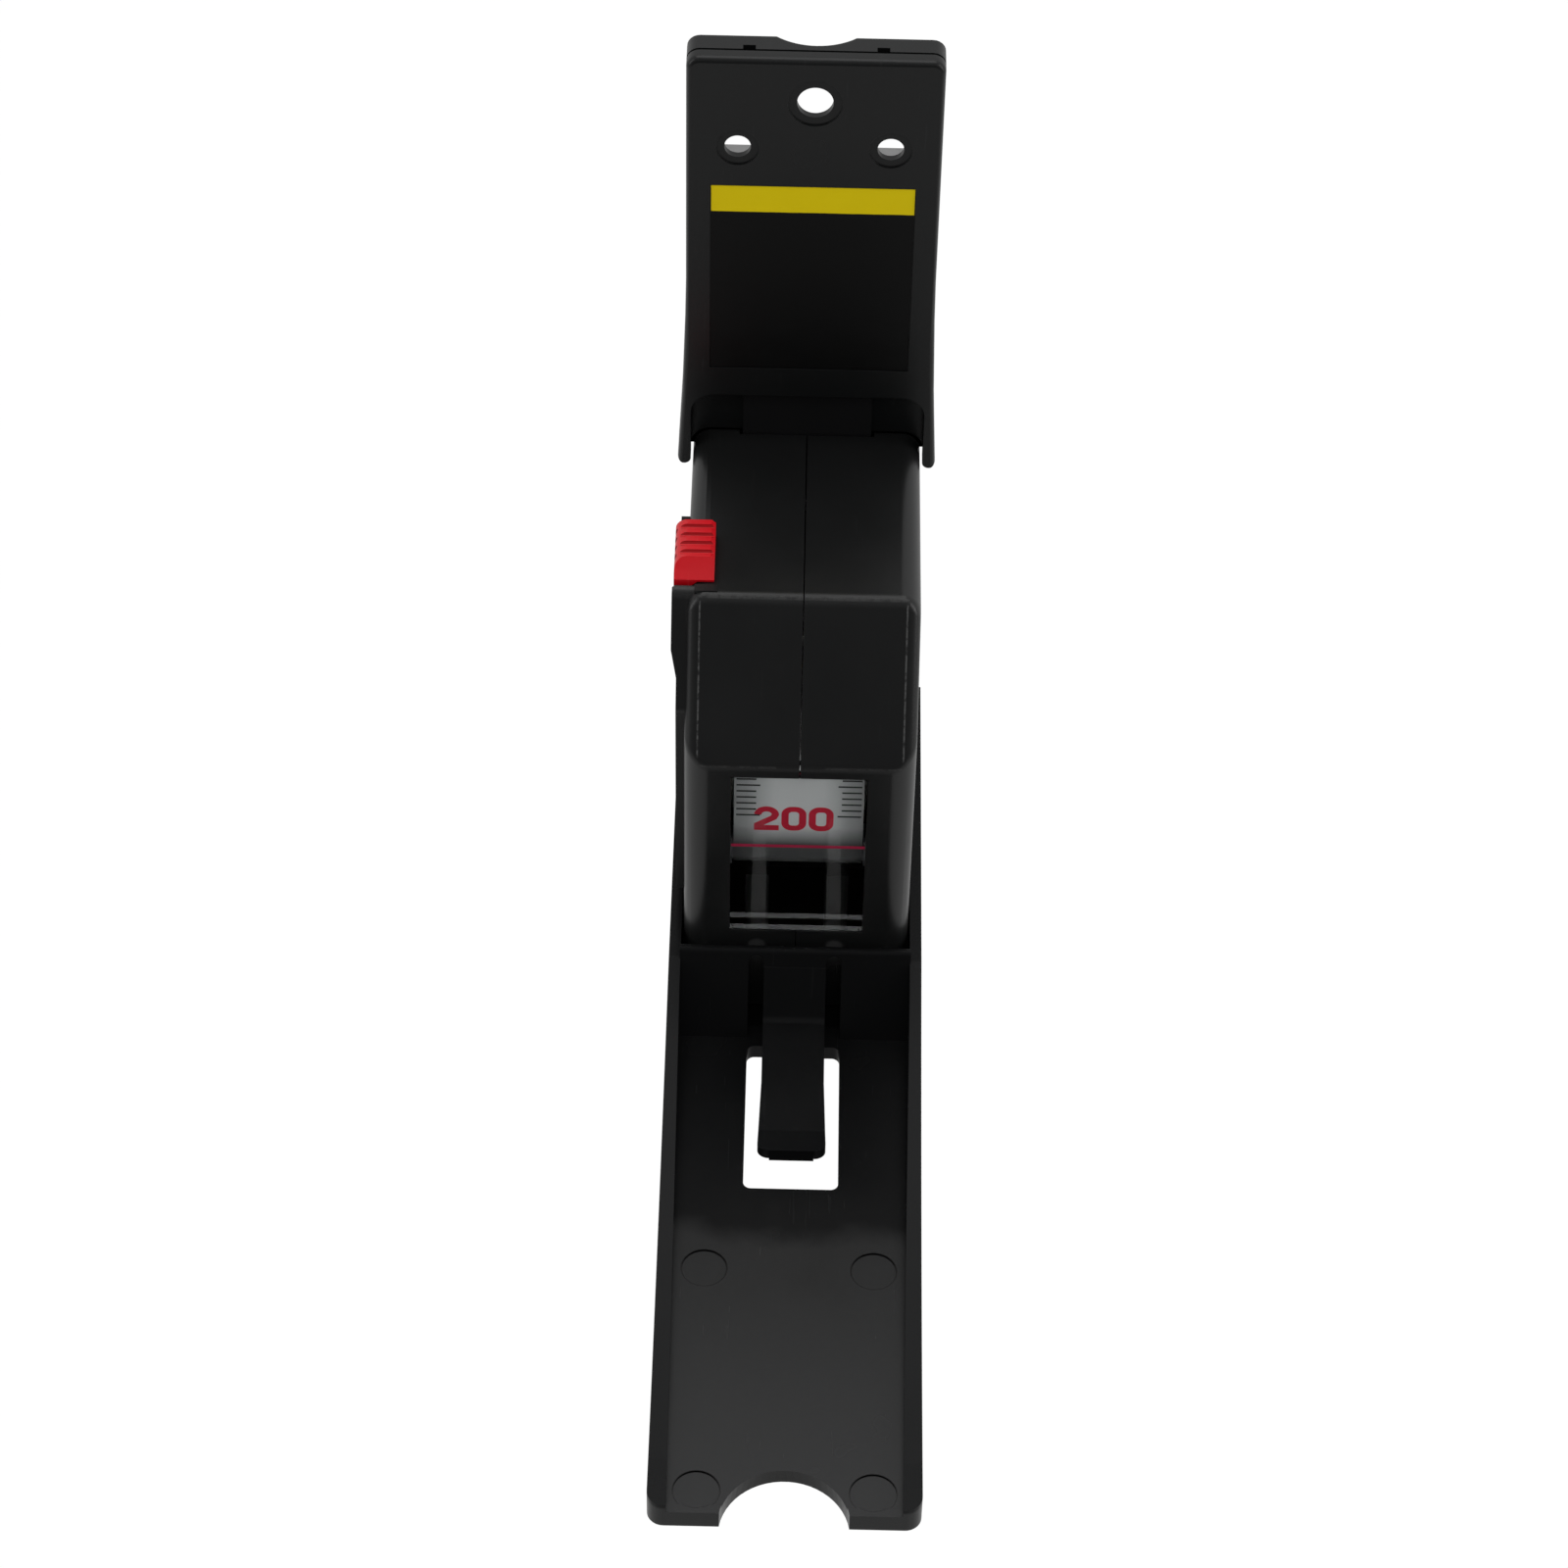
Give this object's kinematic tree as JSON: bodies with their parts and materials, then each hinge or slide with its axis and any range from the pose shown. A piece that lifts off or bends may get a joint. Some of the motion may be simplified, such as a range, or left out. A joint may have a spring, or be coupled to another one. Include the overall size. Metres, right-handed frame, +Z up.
{
  "type": "wall-mounted height measure",
  "caption": "Wall bracket holding the end of a spring-wound measuring tape, whose case with a folded-out head arm slides down the wall and is read in its window.",
  "frame": {"origin": "wall plane on the centre line, 90 mm over the head arm's underside and 26.6 mm under the middle screw hole, on the bracket's back face", "axes": "+X to the right seen from the front, -Y out from the wall, +Z up along the tape"},
  "size_m": [0.033, 0.127, 0.1228],
  "materials": {
    "shell": "moulded black plastic, satin to semi-gloss",
    "label": "printed black and yellow film",
    "steel": "plated steel",
    "spring_steel": "blued spring steel",
    "tape": "white painted steel strip",
    "lens": "clear plastic",
    "inner_plastic": "natural moulded plastic",
    "dark_plastic": "moulded",
    "red_plastic": "moulded, semi-gloss",
    "rubber": "matte"
  },
  "bodies": {
    "wall_bracket": {"bracket_back_plate": "shell", "bracket_front_plate": "shell", "label_plate": "label", "tape_clamp_bar": "steel", "clamp_screws": "steel", "clamped_tape": "tape", "free_tape": "tape"},
    "tape_case": {"case_left": "shell", "case_right": "shell", "window_lens": "lens", "case_screws": "steel", "drum_axle": "steel", "roller_pins": "steel", "tape_run": "tape", "mainspring": "spring_steel", "lever_pin": "steel", "head_arm": "shell"},
    "drum": {"tape_drum": "inner_plastic", "drum_cap": "inner_plastic", "tape_coil": "tape"},
    "top_roller": {"top_front_roller": "dark_plastic"},
    "low_roller": {"low_front_roller": "dark_plastic"},
    "back_roller": {"rear_roller": "dark_plastic"},
    "button": {"brake_button": "red_plastic"},
    "brake": {"brake_lever": "inner_plastic", "brake_pad": "rubber"},
    "latch": {"latch_tongue": "shell"}
  },
  "joints": [
    {"name": "case_drop", "type": "slide", "parent": "wall_bracket", "child": "tape_case", "axis": [0, 0, -1], "range_m": [0, 2], "stiffness_N_per_m": 1.5, "springref_m": -2.5, "deforming": ["free_tape"]},
    {"name": "drum_turn", "type": "hinge", "parent": "tape_case", "child": "drum", "pos_m": [0, -0.0215, -0.054], "axis": [1, 0, 0], "range_deg": [0, 8182.81]},
    {"name": "top_roller_turn", "type": "hinge", "parent": "tape_case", "child": "top_roller", "pos_m": [0, -0.03925, -0.0447], "axis": [1, 0, 0], "range_deg": [0, 54594.69]},
    {"name": "low_roller_turn", "type": "hinge", "parent": "tape_case", "child": "low_roller", "pos_m": [0, -0.03925, -0.0637], "axis": [1, 0, 0], "range_deg": [0, 54594.69]},
    {"name": "back_roller_turn", "type": "hinge", "parent": "tape_case", "child": "back_roller", "pos_m": [0, -0.005, -0.0755], "axis": [1, 0, 0], "range_deg": [0, 54594.69]},
    {"name": "button_slide", "type": "slide", "parent": "tape_case", "child": "button", "axis": [0, 1, 0], "range_m": [0, 0.0024]},
    {"name": "brake_swing", "type": "hinge", "parent": "tape_case", "child": "brake", "pos_m": [0, -0.027, -0.0364], "axis": [-1, 0, 0], "range_deg": [0, 19.99]},
    {"name": "latch_bend", "type": "hinge", "parent": "tape_case", "child": "latch", "pos_m": [0, -0.04747, -0.07909], "axis": [-1, 0, 0], "range_deg": [0, 8], "stiffness_Nm_per_rad": 0.15}
  ],
  "couplings": [
    {"joint": "drum_turn", "follows": "case_drop", "rad_per_m": 71.373},
    {"joint": "top_roller_turn", "follows": "case_drop", "rad_per_m": 476.19},
    {"joint": "low_roller_turn", "follows": "case_drop", "rad_per_m": 476.19},
    {"joint": "back_roller_turn", "follows": "case_drop", "rad_per_m": 476.19},
    {"joint": "brake_swing", "follows": "button_slide", "rad_per_m": 145.32}
  ]
}
